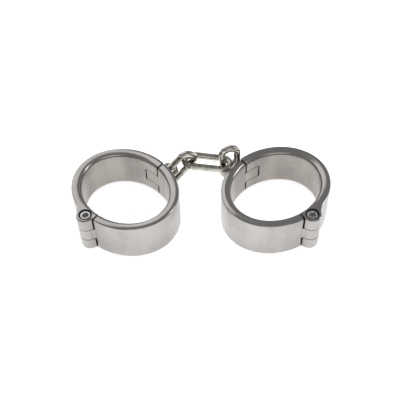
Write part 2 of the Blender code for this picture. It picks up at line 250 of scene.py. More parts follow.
@dataclass(frozen=True)
class SteelFinish:
    """One way of finishing steel."""

    name: str
    slot: str
    pale: Colour
    deep: Colour
    roughness: float
    spread: float               # how far the roughness wanders
    grain: Grain
    mark_size: float            # width of one tool mark
    mark_depth: float
    mark_tint: float            # how far a mark's crest goes to the pale tone
    rim_roughness: float | None = None      # of faces that look up or down
    # painted light: a lighter tone for faces that look up or down
    rim_lit_tone: Colour | None = None
    bore_shade_pale: Colour | None = None         # painted shade of walls that face the piece's axis
    bore_shade_deep: Colour | None = None
    cloud_scale: float = 55.0   # soft patches per metre
    streak_scale: float = 80.0  # upright streaks per metre
    streak_stretch: float = 0.05            # a streak's scale upright against across

    def material(self, suffix: str = "", centre: Vector | None = None) -> bpy.types.Material:
        """Make the material.

        Args:
            suffix: Ends the material's name, where a piece has its own copy.
            centre: The piece's axis, for turned marks and for the painted shade on walls that face it.

        Returns:
            The new material.
        """
        material = bpy.data.materials.new(self.name + suffix)
        material.use_nodes = True
        tree = Tree(material.node_tree)
        shader = material.node_tree.nodes["Principled BSDF"]
        place = tree.add("ShaderNodeTexCoord").outputs["Object"]
        marks = self._marks(tree, place, centre or Vector())
        clouds = tree.add(
            "ShaderNodeTexNoise", {"Vector": place, "Scale": self.cloud_scale, "Detail": 3.0})
        streak_place = tree.add(
            "ShaderNodeMapping", {"Vector": place, "Scale": (1.0, 1.0, self.streak_stretch)})
        streaks = tree.add(
            "ShaderNodeTexNoise",
            {"Vector": streak_place.outputs[0], "Scale": self.streak_scale,
             "Detail": 2.0, "Roughness": 0.4},
        )
        drift = tree.math("ADD", clouds.outputs["Fac"], streaks.outputs["Fac"])
        tone = tree.ramp(drift, *TONE_STEP)
        colour = tree.mix(tone, self.deep, self.pale)
        crest = tree.math("MULTIPLY", tree.ramp(marks, *CREST_STEP), self.mark_tint)
        colour = tree.mix(crest, colour, self.pale)
        worn = tree.math("MULTIPLY", tree.math("SUBTRACT", marks, 0.5), self.spread)
        cloudy = tree.math("MULTIPLY", tree.math("SUBTRACT", tone, 0.5), -self.spread)
        roughness = tree.math("ADD", tree.math("ADD", worn, cloudy), self.roughness)
        # painted shade: the walls of the bore get a darker, warmer tone
        if self.bore_shade_pale is not None:
            bore = tree.mix(tone, self.bore_shade_deep, self.bore_shade_pale)
            colour = tree.mix(self._bore_shade(tree, place, centre), colour, bore)
        if self.rim_roughness is not None:
            rim = self._rim(tree)
            polished = tree.math("ADD", worn, self.rim_roughness)
            levels = dict(zip(MIX_NUMBERS, (roughness, polished)))
            roughness = tree.add("ShaderNodeMix", {"Factor": rim, **levels}).outputs[0]
            # painted light: the rims take a lighter tone than the walls
            colour = tree.mix(rim, colour, tree.mix(tone, self.rim_lit_tone, self.pale))
        if self.grain is Grain.WELDED:
            colour = self._heat(tree, place, colour)
        bump = tree.add(
            "ShaderNodeBump", {"Strength": 1.0, "Distance": self.mark_depth, "Height": marks})
        links = material.node_tree.links
        links.new(colour, shader.inputs["Base Color"])
        links.new(tree.math("MAXIMUM", roughness, SMOOTHEST), shader.inputs["Roughness"])
        links.new(bump.outputs["Normal"], shader.inputs["Normal"])
        shader.inputs["Metallic"].default_value = 1.0
        return material

    def _marks(self, tree: Tree, place: bpy.types.NodeSocket, centre: Vector) -> bpy.types.NodeSocket:
        """Make the tool marks' height.

        Args:
            tree: The material's tree.
            place: Object coordinates.
            centre: The axis of turned marks.

        Returns:
            A height from 0 to 1.
        """
        fine = 1.0 / self.mark_size
        if self.grain is Grain.TURNED:
            flat = tree.add(
                "ShaderNodeMapping",
                {"Vector": place, "Location": (-centre.x, -centre.y, 0.0),
                 "Scale": (1.0, 1.0, TURNED_STRETCH)},
            )
            rings = tree.add(
                "ShaderNodeTexWave",
                {"Vector": flat.outputs[0], "Scale": fine / WAVE_PHASE,
                 "Distortion": 0.6, "Detail": 2.0},
                wave_type="RINGS",
                rings_direction="Z",
            )
            return rings.outputs["Fac"]
        scale = (fine, fine, fine)
        if self.grain is Grain.LEVEL:
            scale = (fine / LEVEL_STRETCH, fine / LEVEL_STRETCH, fine)
        mapped = tree.add("ShaderNodeMapping", {"Vector": place, "Scale": scale})
        marks = tree.add(
            "ShaderNodeTexNoise",
            {"Vector": mapped.outputs[0], "Scale": 1.0, "Detail": 4.0, "Roughness": 0.6},
        )
        return marks.outputs["Fac"]

    def _bore_shade(
        self, tree: Tree, place: bpy.types.NodeSocket, centre: Vector
    ) -> bpy.types.NodeSocket:
        """Find the walls that face the axis, which are painted darker and warmer as shade.

        Args:
            tree: The material's tree.
            place: Object coordinates.
            centre: A point on the axis.

        Returns:
            0 outside, 1 on the walls of the bore.
        """
        spoke = tree.vector("SUBTRACT", place, centre).outputs[0]
        flat = tree.vector("MULTIPLY", spoke, (1.0, 1.0, 0.0)).outputs[0]
        outward = tree.vector("NORMALIZE", flat).outputs[0]
        normal = tree.add("ShaderNodeNewGeometry").outputs["Normal"]
        facing = tree.vector("DOT_PRODUCT", normal, outward).outputs["Value"]
        return tree.ramp(facing, *BORE_SHADE_STEP)

    def _rim(self, tree: Tree) -> bpy.types.NodeSocket:
        """Find the faces that look up or down: they are buffed after the walls are brushed, and get a
        lighter tone as painted light.

        Args:
            tree: The material's tree.

        Returns:
            0 on the walls, 1 on the rims.
        """
        normal = tree.add("ShaderNodeNewGeometry").outputs["Normal"]
        upright = tree.add("ShaderNodeSeparateXYZ", {0: normal}).outputs["Z"]
        return tree.ramp(tree.math("ABSOLUTE", upright), *RIM_STEP)

    def _heat(
        self, tree: Tree, place: bpy.types.NodeSocket, colour: bpy.types.NodeSocket
    ) -> bpy.types.NodeSocket:
        """Add straw and blue heat tints.

        Args:
            tree: The material's tree.
            place: Object coordinates.
            colour: The steel's colour.

        Returns:
            The tinted colour.
        """
        heat = tree.add(
            "ShaderNodeTexNoise", {"Vector": place, "Scale": HEAT_SCALE, "Detail": 2.0}
        ).outputs["Fac"]
        straw = tree.mix(tree.ramp(heat, *STRAW_STEP), colour, STRAW_TINT)
        return tree.mix(tree.ramp(heat, *BLUE_STEP), straw, BLUE_TINT)


SATIN = SteelFinish(
    "satin_band_steel", "satin_steel", pale=(0.435, 0.420, 0.410), deep=(0.345, 0.332, 0.323),
    roughness=0.26, spread=0.08, grain=Grain.LEVEL,
    mark_size=0.35 * MM, mark_depth=0.002 * MM, mark_tint=0.20,
    rim_roughness=0.14, rim_lit_tone=(0.39, 0.375, 0.36),
    bore_shade_pale=(0.375, 0.352, 0.327), bore_shade_deep=(0.290, 0.271, 0.252))
# painted shade: the walls left by cuts, inside the seams, are painted nearly black
SEAM = SteelFinish(
    "seam_wall_steel", "satin_steel", pale=(0.15, 0.143, 0.136), deep=(0.07, 0.066, 0.062),
    roughness=0.45, spread=0.10, grain=Grain.HAND,
    mark_size=0.6 * MM, mark_depth=0.01 * MM, mark_tint=0.5)
POLISHED = SteelFinish(
    "polished_chain_steel", "bright_steel", pale=(0.56, 0.542, 0.487), deep=(0.31, 0.297, 0.262),
    roughness=0.07, spread=0.05, grain=Grain.HAND,
    mark_size=1.6 * MM, mark_depth=0.015 * MM, mark_tint=0.3,
    cloud_scale=170.0, streak_scale=260.0, streak_stretch=1.0)
TURNED = SteelFinish(
    "turned_screw_steel", "dark_steel", pale=(0.60, 0.60, 0.60), deep=(0.40, 0.40, 0.41),
    roughness=0.20, spread=0.10, grain=Grain.TURNED,
    mark_size=0.25 * MM, mark_depth=0.01 * MM, mark_tint=0.8)
WELD = SteelFinish(
    "weld_bead_steel", "weld_steel", pale=(0.48, 0.47, 0.46), deep=(0.30, 0.29, 0.29),
    roughness=0.32, spread=0.20, grain=Grain.WELDED,
    mark_size=0.5 * MM, mark_depth=0.06 * MM, mark_tint=0.8)


# ---------------------------------------------------------------- mesh helpers

def add_object(name: str, data: bpy.types.ID) -> bpy.types.Object:
    """Put an object in the scene.

    Args:
        name: The object's name.
        data: Its mesh, curve, light or camera.

    Returns:
        The new object.
    """
    thing = bpy.data.objects.new(name, data)
    bpy.context.scene.collection.objects.link(thing)
    return thing


def shape_to_object(name: str, shape: bmesh.types.BMesh) -> bpy.types.Object:
    """Finish a bmesh as an object with its faces pointing out.

    Args:
        name: The object's name.
        shape: The shape, which is freed.

    Returns:
        The new object.
    """
    bmesh.ops.remove_doubles(shape, verts=shape.verts, dist=MERGE_DISTANCE)
    bmesh.ops.recalc_face_normals(shape, faces=shape.faces)
    mesh = bpy.data.meshes.new(name)
    shape.to_mesh(mesh)
    shape.free()
    return add_object(name, mesh)


def bake(thing: bpy.types.Object) -> bpy.types.Object:
    """Replace an object by the plain mesh that its modifiers give, placed in the mesh.

    Args:
        thing: The object, which is removed.

    Returns:
        A new object of the same name at the origin.
    """
    bpy.context.view_layer.update()
    evaluated = thing.evaluated_get(bpy.context.evaluated_depsgraph_get())
    mesh = bpy.data.meshes.new_from_object(evaluated)
    mesh.transform(thing.matrix_world)
    name = thing.name
    bpy.data.objects.remove(thing, do_unlink=True)
    mesh.name = name
    return add_object(name, mesh)


def shade(thing: bpy.types.Object) -> None:
    """Shade round, with sharp edges kept."""
    thing.data.shade_smooth()
    thing.data.set_sharp_from_angle(angle=SHARP_ANGLE)


def prism(name: str, outline: Sequence[Vector], low: float, high: float) -> bpy.types.Object:
    """Make an upright solid from a flat outline.

    Args:
        name: The object's name.
        outline: World points, in order.
        low: Height of the lower face.
        high: Height of the upper face.

    Returns:
        The new object.
    """
    shape = bmesh.new()
    bottom = [shape.verts.new((point.x, point.y, low)) for point in outline]
    top = [shape.verts.new((point.x, point.y, high)) for point in outline]
    shape.faces.new(bottom)
    shape.faces.new(top)
    for index in range(len(outline)):
        after = (index + 1) % len(outline)
        shape.faces.new((bottom[index], bottom[after], top[after], top[index]))
    return shape_to_object(name, shape)


def join_rings(shape: bmesh.types.BMesh, rings: Sequence[Sequence[bmesh.types.BMVert]]) -> None:
    """Skin a ring of closed sections with four-sided faces.

    Args:
        shape: The shape that holds the points.
        rings: The sections in order; the last one meets the first.
    """
    count = len(rings[0])
    for ring, after in zip(rings, rings[1:] + rings[:1]):
        for index in range(count):
            following = (index + 1) % count
            shape.faces.new((ring[index], ring[following], after[following], after[index]))


def lathe(name: str, profile: Sequence[tuple[float, float]], sides: int) -> bpy.types.Object:
    """Turn a profile about Z.

    Args:
        name: The object's name.
        profile: Radius and height of each point; it is a closed ring unless it ends on the axis.
        sides: Steps round the axis.

    Returns:
        The new object.
    """
    shape = bmesh.new()
    rings = []
    for radius, height in profile:
        ring = []
        for side in range(sides):
            turn = 2.0 * math.pi * side / sides
            ring.append(shape.verts.new((radius * math.cos(turn), radius * math.sin(turn), height)))
        rings.append(ring)
    pairs = list(zip(rings, rings[1:]))
    if profile[0][0] > 0.0:
        pairs.append((rings[-1], rings[0]))
    for upper, lower in pairs:
        for side in range(sides):
            after = (side + 1) % sides
            shape.faces.new((upper[side], upper[after], lower[after], lower[side]))
    return shape_to_object(name, shape)


def drum(name: str, centre: Vector, radius: float, low: float, high: float) -> bpy.types.Object:
    """Make an upright cylinder.

    Args:
        name: The object's name.
        centre: A point on its axis.
        radius: Its radius.
        low: Height of its lower face.
        high: Height of its upper face.

    Returns:
        The new object.
    """
    outline = []
    for step in range(DRUM_SIDES):
        turn = 2.0 * math.pi * step / DRUM_SIDES
        x = centre.x + radius * math.cos(turn)
        y = centre.y + radius * math.sin(turn)
        outline.append(Vector((x, y)))
    return prism(name, outline, low, high)


def countersink(centre: Vector, radius: float, top: float, sides: int) -> bpy.types.Object:
    """Make the cutter that breaks a hole's edge, a cone with its point down.

    Args:
        centre: A point on the hole's axis.
        radius: The cone's radius in the face that has the hole.
        top: Height of that face.
        sides: Steps round the axis.

    Returns:
        The cutter.
    """
    profile = [(0.0, top + radius), (2.0 * radius, top + radius), (0.0, top - radius)]
    cone = lathe("chamfer", profile, sides)
    cone.data.transform(Matrix.Translation(centre))
    return cone


def make_slots(thing: bpy.types.Object) -> None:
    """Give a mesh empty material slots for its skin and its seam walls."""
    while len(thing.data.materials) <= SHADED_SEAM_WALL:
        thing.data.materials.append(None)


def cut(thing: bpy.types.Object, cutters: Iterable[bpy.types.Object]) -> bpy.types.Object:
    """Cut closed shapes from a closed shape, and mark the walls that the cuts leave for painted shade.

    Args:
        thing: What is cut; it is removed.
        cutters: What to cut away; they are removed.

    Returns:
        The cut object.
    """
    tools = list(cutters)
    make_slots(thing)
    for tool in tools:
        make_slots(tool)
        tool.data.polygons.foreach_set("material_index", [SHADED_SEAM_WALL] * len(tool.data.polygons))
        boolean = thing.modifiers.new(tool.name, "BOOLEAN")
        boolean.solver = "MANIFOLD"
        boolean.material_mode = "INDEX"
        boolean.operation = "DIFFERENCE"
        boolean.object = tool
    result = bake(thing)
    for tool in tools:
        bpy.data.objects.remove(tool, do_unlink=True)
    return result


def dress(
    piece: bpy.types.Object, materials: Sequence[bpy.types.Material], body: str, node: str
) -> None:
    """Give a finished piece its finish, its body and the node that it stands for.

    Args:
        piece: The piece.
        materials: Its finish, and where there is a second one the painted shade of its seam walls.
        body: The CAD body that it moves with.
        node: The CAD node that it replaces.
    """
    faces = piece.data.polygons
    indices = np.zeros(len(faces), dtype=np.int32)
    faces.foreach_get("material_index", indices)
    piece.data.materials.clear()
    for material in materials:
        piece.data.materials.append(material)
    faces.foreach_set("material_index", np.where(indices < len(materials), indices, SKIN))
    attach(piece, body)
    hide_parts(node)
    LOG.info("%s: %d faces, %d of them seam walls, on %s",
             piece.name, len(faces), int((indices == SHADED_SEAM_WALL).sum()), body)


def node_centre(node: str) -> Vector:
    """Find the middle of a CAD node's box."""
    low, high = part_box(node)
    return (low + high) / 2.0


# ---------------------------------------------------------------- plan of a cuff

@dataclass(frozen=True)
class PlanPoint:
    """A point of an outline, and the direction out of the steel there."""

    at: Vector
    out: Vector


@dataclass(frozen=True)
class CuffShape:
    """Sizes of a cuff, and how finely it is drawn.

    They are the CAD model's, but for three things. The rims are rounded and crowned here, the
    seams between the halves are wider, and the counterbore is countersunk.
    """

    height: float = 25.5 * MM
    wall: float = 5.7 * MM
    short: float = 29.5 * MM            # outer half-width along the short axis
    long: float = 34.0 * MM             # outer half-width along the long axis
    rim_round: float = 1.1 * MM         # where the rim meets the outer wall
    bore_round: float = 2.4 * MM        # where the rim meets the bore
    crown: float = 0.12 * MM            # rise of the rim's middle, from buffing
    seam: float = 1.1 * MM              # between a knuckle's end and the band it faces
    level_gap: float = 0.45 * MM        # between stacked knuckles
    pin_angle: float = math.radians(7.8)
    pin_radius: float = 1.3 * MM
    pin_clearance: float = 0.25 * MM
    pin_cover: float = 1.4 * MM
    knuckle_radius: float = 5.4 * MM
    relief_shift: float = 0.5 * MM      # moves the tongue's recess outwards
    screw_out: float = 29.4 * MM
    screw_hole_radius: float = 2.3 * MM
    screw_hole_end: float = 2.2 * MM
    counterbore_radius: float = 3.7 * MM
    counterbore_seat: float = 20.7 * MM
    counterbore_chamfer: float = 0.35 * MM
    boss_radius: float = 5.4 * MM
    fillet_back: float = 12.0 * MM
    fillet_front: float = 1.6 * MM
    fillet_nearest: float = math.radians(2.0)       # where a fillet can touch the oval
    fillet_farthest: float = math.radians(60.0)
    fillet_rounds: int = 50
    lock_seam: float = math.radians(13.0)
    tongue_seam: float = math.radians(9.5)
    oval_steps: int = 300
    rim_steps: int = 7
    crown_steps: int = 8
    back_fillet_steps: int = 16
    boss_steps: int = 20
    front_fillet_steps: int = 12
    wedge_step: float = math.radians(60.0)          # the widest step round a wedge

    def oval_radius(self, angle: float, inset: float = 0.0) -> float:
        """Measure from the centre to the oval.

        Args:
            angle: Plan angle.
            inset: How far the oval is drawn in.

        Returns:
            The distance.
        """
        short = self.short - inset
        long = self.long - inset
        return 1.0 / math.hypot(math.cos(angle) / short, math.sin(angle) / long)

    def pin(self, shift: float = 0.0) -> Vector:
        """Find the hinge pin's axis in the middle of the wall, or a point further out."""
        return self.polar(self.pin_angle, self.oval_radius(self.pin_angle, self.wall / 2.0) + shift)

    def screw(self) -> Vector:
        """Find the lock screw's axis."""
        return Vector((-self.screw_out, 0.0))

    @staticmethod
    def polar(angle: float, radius: float) -> Vector:
        """Find a point by its angle and its distance from the centre."""
        return Vector((radius * math.cos(angle), radius * math.sin(angle)))

    def on_oval(self, turn: float) -> PlanPoint:
        """Find a point of the outer oval.

        Args:
            turn: The oval's parameter, which is 0 on x.

        Returns:
            The point and its outward direction.
        """
        at = Vector((self.short * math.cos(turn), self.long * math.sin(turn)))
        out = Vector((self.long * math.cos(turn), self.short * math.sin(turn))).normalized()
        return PlanPoint(at, out)

    def inside(self, outer: PlanPoint) -> PlanPoint:
        """Find the bore's point on the same ray as a point outside.

        Args:
            outer: A point of the outer outline.

        Returns:
            The point and its direction, which is into the bore.
        """
        angle = math.atan2(outer.at.y, outer.at.x)
        at = self.polar(angle, self.oval_radius(angle, self.wall))
        short = self.short - self.wall
        long = self.long - self.wall
        out = -Vector((at.x / short ** 2, at.y / long ** 2)).normalized()
        return PlanPoint(at, out)

    def fillet(self, radius: float, side: float) -> tuple[Vector, float]:
        """Find a fillet circle that touches the oval and the lug's boss from outside.

        Args:
            radius: The fillet's radius.
            side: 1 for the fillet on the lug half's side, -1 for the other.

        Returns:
            The circle's centre, and the oval's parameter where it touches.
        """
        near, far = self.fillet_nearest, self.fillet_farthest
        for _ in range(self.fillet_rounds):
            offset = (near + far) / 2.0
            turn = math.pi - side * offset
            touch = self.on_oval(turn)
            centre = touch.at + touch.out * radius
            if (centre - self.screw()).length < self.boss_radius + radius:
                near = offset
            else:
                far = offset
        return centre, turn

    def outline(self) -> list[PlanPoint]:
        """Draw the outside, with the lug's boss and its two fillets.

        Returns:
            The points, counter-clockwise.
        """
        back_centre, back_turn = self.fillet(self.fillet_back, 1.0)
        front_centre, front_turn = self.fillet(self.fillet_front, -1.0)
        boss = self.screw()
        back_joint = boss + (back_centre - boss).normalized() * self.boss_radius
        front_joint = boss + (front_centre - boss).normalized() * self.boss_radius
        tip = boss + Vector((-self.boss_radius, 0.0))
        start = front_turn - 2.0 * math.pi
        points = []
        for step in range(self.oval_steps):
            points.append(self.on_oval(start + (back_turn - start) * step / self.oval_steps))
        back_touch = self.on_oval(back_turn).at
        front_touch = self.on_oval(front_turn).at
        points += self.arc(back_centre, back_touch, back_joint, self.back_fillet_steps, -1.0)
        points += self.arc(boss, back_joint, tip, self.boss_steps, 1.0)
        points += self.arc(boss, tip, front_joint, self.boss_steps, 1.0)
        points += self.arc(front_centre, front_joint, front_touch, self.front_fillet_steps, -1.0)
        return points

    @staticmethod
    def arc(centre: Vector, start: Vector, end: Vector, steps: int, sense: float) -> list[PlanPoint]:
        """Go the short way round a circle.

        Args:
            centre: The circle's centre.
            start: The first point.
            end: The point after the last one.
            steps: How many points.
            sense: 1 where the steel is inside the circle, -1 where it is outside.

        Returns:
            The points.
        """
        first = start - centre
        last = end - centre
        angle = math.atan2(first.x * last.y - first.y * last.x, first.dot(last))
        points = []
        for step in range(steps):
            spoke = Matrix.Rotation(angle * step / steps, 2) @ first
            points.append(PlanPoint(centre + spoke, spoke.normalized() * sense))
        return points


# ---------------------------------------------------------------- cuff

@dataclass
class Cuff:
    """One cuff: two halves of oval band, hinge pin, lock screw and chain eye."""

    side: str
    mirrored: bool
    shape: CuffShape

    def __post_init__(self) -> None:
        """Find the plan's place from the hinge pin's and the lock screw's CAD nodes."""
        pin = node_centre(self.side + "_hinge_pin")
        screw = node_centre(self.side + "_lock_screw")
        span = (pin - screw).to_2d()
        if self.mirrored:
            span.x = -span.x
        drawn = self.shape.pin() - self.shape.screw()
        self.turn = math.atan2(span.y, span.x) - math.atan2(drawn.y, drawn.x)
        self.centre = Vector((0.0, 0.0, 0.0))
        self.centre = Vector((screw.x, screw.y, 0.0)) - self.place(self.shape.screw())

    def place(self, point: Vector, height: float = 0.0) -> Vector:
        """Take a plan point to the world.

        Args:
            point: The plan point.
            height: Its height.

        Returns:
            The world point.
        """
        turned = Matrix.Rotation(self.turn, 2) @ point
        if self.mirrored:
            turned.x = -turned.x
        return Vector((turned.x, turned.y, height)) + self.centre

    def blank(self, name: str) -> bpy.types.Object:
        """Make the whole band and lug before it is split, with its rims rounded.

        Args:
            name: The object's name.

        Returns:
            The new object.
        """
        shape = bmesh.new()
        rings = []
        for outer in self.shape.outline():
            inner = self.shape.inside(outer)
            ring = []
            for way in (1.0, -1.0):
                edge = [self.rim_point(outer, self.shape.rim_round, step, way)
                        for step in range(self.shape.rim_steps + 1)]
                lip = [self.rim_point(inner, self.shape.bore_round, step, way)
                       for step in range(self.shape.rim_steps, -1, -1)]
                crown = self.crown_points(edge[-1], lip[0], way)
                side = edge + crown + lip
                ring += side if way > 0.0 else reversed(side)
            rings.append([shape.verts.new(place) for place in ring])
        join_rings(shape, rings)
        return shape_to_object(name, shape)

    def crown_points(self, outer: Vector, inner: Vector, way: float) -> list[Vector]:
        """Place the points of the rim's slightly crowned top.

        Args:
            outer: Where the outer round ends.
            inner: Where the bore's round ends.
            way: 1 for the upper rim, -1 for the lower.

        Returns:
            The points between, from the outer one to the inner one.
        """
        points = []
        for step in range(1, self.shape.crown_steps):
            share = step / self.shape.crown_steps
            place = outer.lerp(inner, share)
            place.z += way * self.shape.crown * math.sin(math.pi * share)
            points.append(place)
        return points

    def rim_point(self, point: PlanPoint, radius: float, step: int, way: float) -> Vector:
        """Place one point of the rounded rim.

        Args:
            point: The outline's point.
            radius: The round's radius.
            step: 0 on the wall, rising to the flat of the rim.
            way: 1 for the upper rim, -1 for the lower.

        Returns:
            The world point.
        """
        angle = 0.5 * math.pi * step / self.shape.rim_steps
        inward = point.at - point.out * (radius * (1.0 - math.cos(angle)))
        rise = self.shape.height / 2.0 - self.shape.crown * step / self.shape.rim_steps
        rise -= radius * (1.0 - math.sin(angle))
        return self.place(inward, self.shape.height / 2.0 + way * rise)

    def sector(self, name: str, start: float, end: float, low: float, high: float) -> bpy.types.Object:
        """Make a wedge from the cuff's centre between two plan angles.

        Args:
            name: The object's name.
            start: The first angle.
            end: The last angle.
            low: Height of the lower face.
            high: Height of the upper face.

        Returns:
            The new object.
        """
        steps = max(1, math.ceil((end - start) / self.shape.wedge_step))
        outline = [self.place(Vector((0.0, 0.0)))]
        for step in range(steps + 1):
            angle = start + (end - start) * step / steps
            outline.append(self.place(self.shape.polar(angle, SURE_CUT)))
        return prism(name, outline, low, high)

    def bores(self) -> list[bpy.types.Object]:
        """Make the cutters for the hinge pin's bore and the lock screw's hole.

        Returns:
            The two cutters.
        """
        shape = self.shape
        top = shape.height - shape.pin_cover
        return [
            drum("pin_bore", self.place(shape.pin()), shape.pin_radius + shape.pin_clearance,
                 -SURE_CUT, top),
            drum("screw_hole", self.place(shape.screw()), shape.screw_hole_radius,
                 shape.screw_hole_end, SURE_CUT),
        ]

    def outer_part(self, start: float, end: float) -> bpy.types.Object:
        """Make the cutter that leaves one half of the band, and its round hinge end.

        Args:
            start: Where the half that is kept ends, as a plan angle.
            end: Where it starts again.

        Returns:
            The cutter.
        """
        away = self.sector("away", start, end, -SURE_CUT, SURE_CUT)
        keep = drum("keep", self.place(self.shape.pin()), self.shape.knuckle_radius,
                    -2.0 * SURE_CUT, 2.0 * SURE_CUT)
        return cut(away, [keep])

    def lug_half(self) -> bpy.types.Object:
        """Make the half with the counterbored lug.

        Returns:
            The new piece.
        """
        shape = self.shape
        gap = shape.seam / shape.short
        lock = math.pi + shape.lock_seam
        low = shape.height / 3.0 - shape.level_gap / 2.0
        high = shape.height - low
        slot = self.sector(
            "slot", math.pi - shape.tongue_seam - gap, lock + shape.lock_seam, low, high)
        recess = drum("recess", self.place(shape.pin(shape.relief_shift)),
                      shape.knuckle_radius + shape.seam, low, high)
        screw = self.place(shape.screw())
        counterbore = drum(
            "counterbore", screw, shape.counterbore_radius, shape.counterbore_seat, SURE_CUT)
        chamfer = countersink(
            screw, shape.counterbore_radius + shape.counterbore_chamfer, shape.height, DRUM_SIDES)
        tools = [self.outer_part(lock - gap, 2.0 * math.pi + shape.pin_angle), recess, slot]
        tools += self.bores() + [counterbore, chamfer]
        return cut(self.blank(self.side + "_lug_half_body"), tools)

    def chain_half(self) -> bpy.types.Object:
        """Make the half that carries the chain, with its tongue at both ends.

        Returns:
            The new piece.
        """
        shape = self.shape
        low = shape.height / 3.0 + shape.level_gap / 2.0
        tools = [self.outer_part(shape.pin_angle, math.pi - shape.tongue_seam)]
        for bottom, top in ((-SURE_CUT, low), (shape.height - low, SURE_CUT)):
            tools.append(drum("recess", self.place(shape.pin()),
                              shape.knuckle_radius + shape.seam, bottom, top))
            tools.append(self.sector("slot", math.pi - 2.0 * shape.lock_seam,
                                     math.pi + shape.lock_seam, bottom, top))
        return cut(self.blank(self.side + "_chain_half_body"), tools + self.bores())

    def build(self) -> None:
        """Make and dress the cuff's pieces."""
        # the second finish paints the seam walls dark as shade
        finishes = [SATIN.material("_" + self.side, self.centre), SEAM.material("_" + self.side)]
        chain_side = self.side + "_chain_side"
        lug_side = self.side + "_lug_side"
        for piece, body, node in (
            (self.chain_half(), chain_side, "_chain_half"),
            (self.lug_half(), lug_side, "_lug_half"),
        ):
            shade(piece)
            dress(piece, finishes, body, self.side + node)
        HingePin(self).build()
        LockScrew(self).build()
        ChainEye(self).build()


# ---------------------------------------------------------------- pin and screw

@dataclass
class HingePin:
    """The pin through a cuff's three hinge knuckles, with a shallow dome at its lower end."""

    cuff: Cuff
    radius: float = 1.3 * MM
    dome: float = 0.25 * MM
    dome_steps: int = 6
    sides: int = 64

    def build(self) -> None:
        """Make and dress the pin."""
        node = self.cuff.side + "_hinge_pin"
        low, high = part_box(node)
        edge = self.radius - self.dome
        profile = [(0.0, high.z), (edge, high.z), (self.radius, high.z - self.dome)]
        for step in range(self.dome_steps + 1):
            angle = 0.5 * math.pi * step / self.dome_steps
            height = low.z + self.dome * (1.0 - math.sin(angle))
            profile.append((self.radius * math.cos(angle), height))
        pin = lathe(node + "_turned", profile, self.sides)
        axis = node_centre(node)
        pin.data.transform(Matrix.Translation((axis.x, axis.y, 0.0)))
        shade(pin)
        finish = TURNED.material("_" + node, axis)
        dress(pin, [finish], self.cuff.side + "_lug_side", node)


